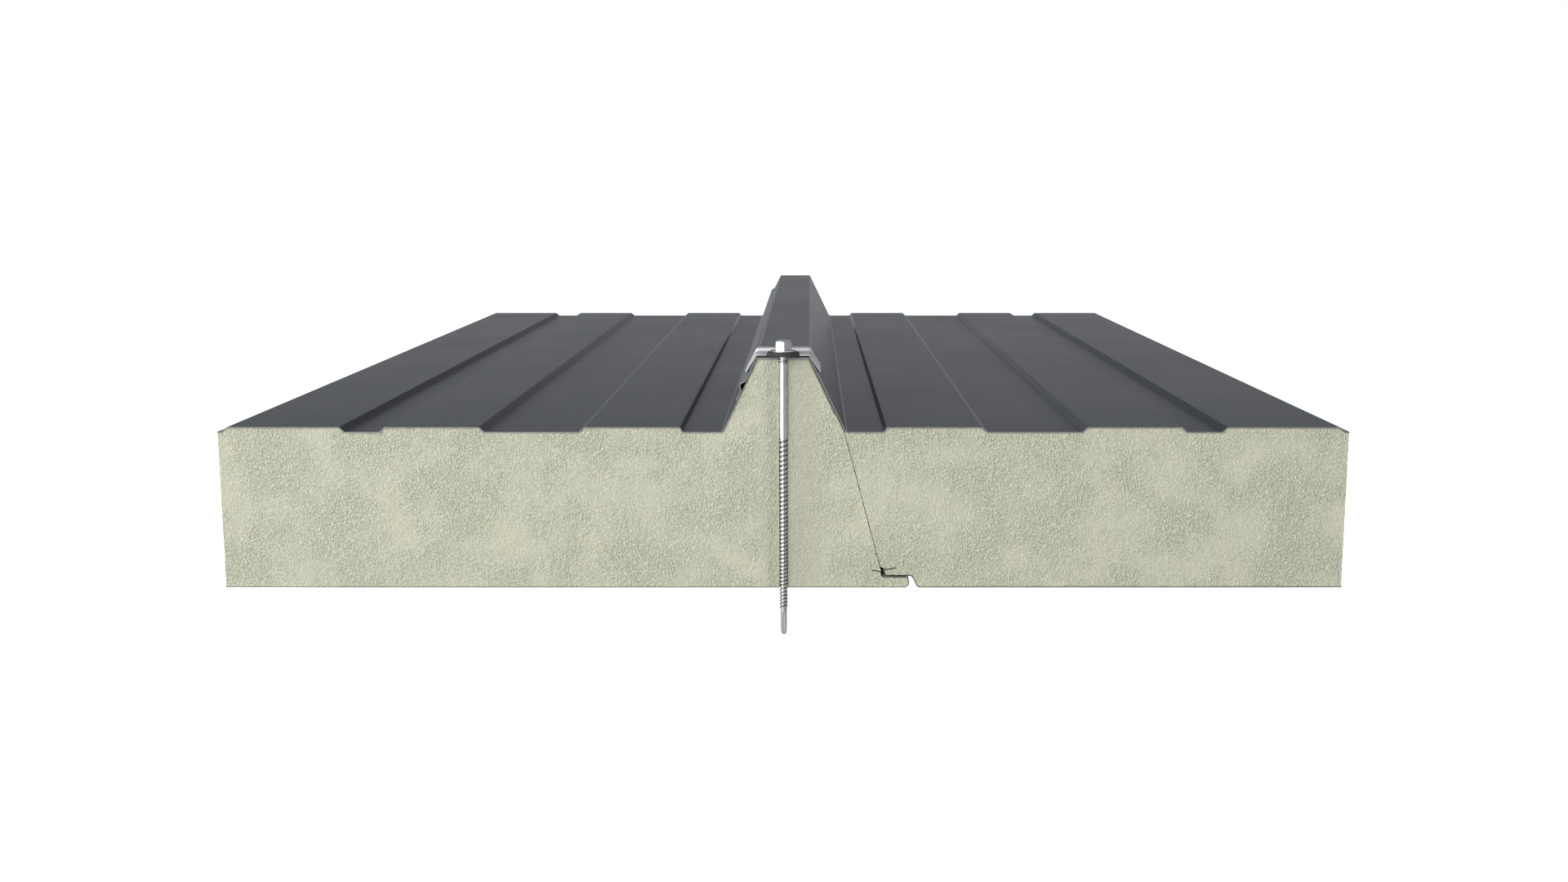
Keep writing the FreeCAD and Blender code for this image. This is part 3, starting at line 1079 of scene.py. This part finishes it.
def soft_light(name, watts, place, target, size, pieces=()):
    """Rectangular soft light at a place, facing a target, for all there is or for some pieces alone."""
    clear_selection()
    bpy.ops.object.light_add(type="AREA", location=place)
    lamp = bpy.context.object
    lamp.name = name
    lamp.data.shape = "RECTANGLE"
    lamp.data.size, lamp.data.size_y = size
    lamp.data.energy = watts
    lamp.rotation_euler = (Vector(target) - Vector(place)).to_track_quat("-Z", "Y").to_euler()
    if pieces:
        lamp.light_linking.receiver_collection = bpy.data.collections.new(name + "_pieces")
        for piece in pieces:
            lamp.light_linking.receiver_collection.objects.link(bpy.data.objects[piece])


def place_camera(scene, stage):
    """Camera that looks along the rib, tilted a little down."""
    bpy.ops.object.camera_add(location=stage.eye, rotation=(UPRIGHT - stage.pitch, 0, 0))
    camera = bpy.context.object
    camera.data.lens = stage.lens
    camera.data.shift_x = stage.shift
    camera.data.clip_start = NEAR_CLIP
    scene.camera = camera
    scene.view_settings.view_transform = "Standard"


class PANELJOINT_OT_set_stage(Operator):
    """Set the pale floor, the white surround, the soft lights and the camera"""

    bl_idname = "panel_joint.set_stage"
    bl_label = "Set stage"

    def execute(self, context):
        scene = context.scene
        stage = scene.joint_stage
        lay_floor(stage)
        hang_surround(scene, stage)
        soft_light("key_light", stage.key, KEY_PLACE, LIGHT_TARGET, KEY_SIZE)
        soft_light("low_light", stage.low, LOW_PLACE, LOW_TARGET, LOW_SIZE, LOW_PIECES)
        soft_light("back_light", stage.back, BACK_PLACE, LIGHT_TARGET, BACK_SIZE, BACK_PIECES)
        place_camera(scene, stage)
        return {"FINISHED"}


class PANELJOINT_PT_steps(Panel):
    """The steps that dress the joint, in order"""

    bl_idname = "PANELJOINT_PT_steps"
    bl_label = "Roof Panel Joint"
    bl_space_type = "VIEW_3D"
    bl_region_type = "UI"
    bl_category = "Panel Joint"

    def draw(self, context):
        for step in STEPS:
            self.layout.operator(step.bl_idname)


STEPS = (
    PANELJOINT_OT_coat_sheets,
    PANELJOINT_OT_saw_foam,
    PANELJOINT_OT_form_saddle,
    PANELJOINT_OT_mould_seals,
    PANELJOINT_OT_make_screw,
    PANELJOINT_OT_set_stage,
)
SETTINGS = {
    "joint_sheets": PANELJOINT_PG_sheets,
    "joint_foam": PANELJOINT_PG_foam,
    "joint_fastener": PANELJOINT_PG_fastener,
    "joint_stage": PANELJOINT_PG_stage,
}


def register():
    for group in SETTINGS.values():
        bpy.utils.register_class(group)
    for name, group in SETTINGS.items():
        setattr(bpy.types.Scene, name, PointerProperty(type=group))
    for step in STEPS:
        bpy.utils.register_class(step)
    bpy.utils.register_class(PANELJOINT_PT_steps)


def unregister():
    bpy.utils.unregister_class(PANELJOINT_PT_steps)
    for step in reversed(STEPS):
        bpy.utils.unregister_class(step)
    for name in SETTINGS:
        delattr(bpy.types.Scene, name)
    for group in reversed(SETTINGS.values()):
        bpy.utils.unregister_class(group)


def main():
    register()
    bpy.ops.panel_joint.coat_sheets()
    bpy.ops.panel_joint.saw_foam()
    bpy.ops.panel_joint.form_saddle()
    bpy.ops.panel_joint.mould_seals()
    bpy.ops.panel_joint.make_screw()
    bpy.ops.panel_joint.set_stage()


if __name__ == "__main__":
    main()
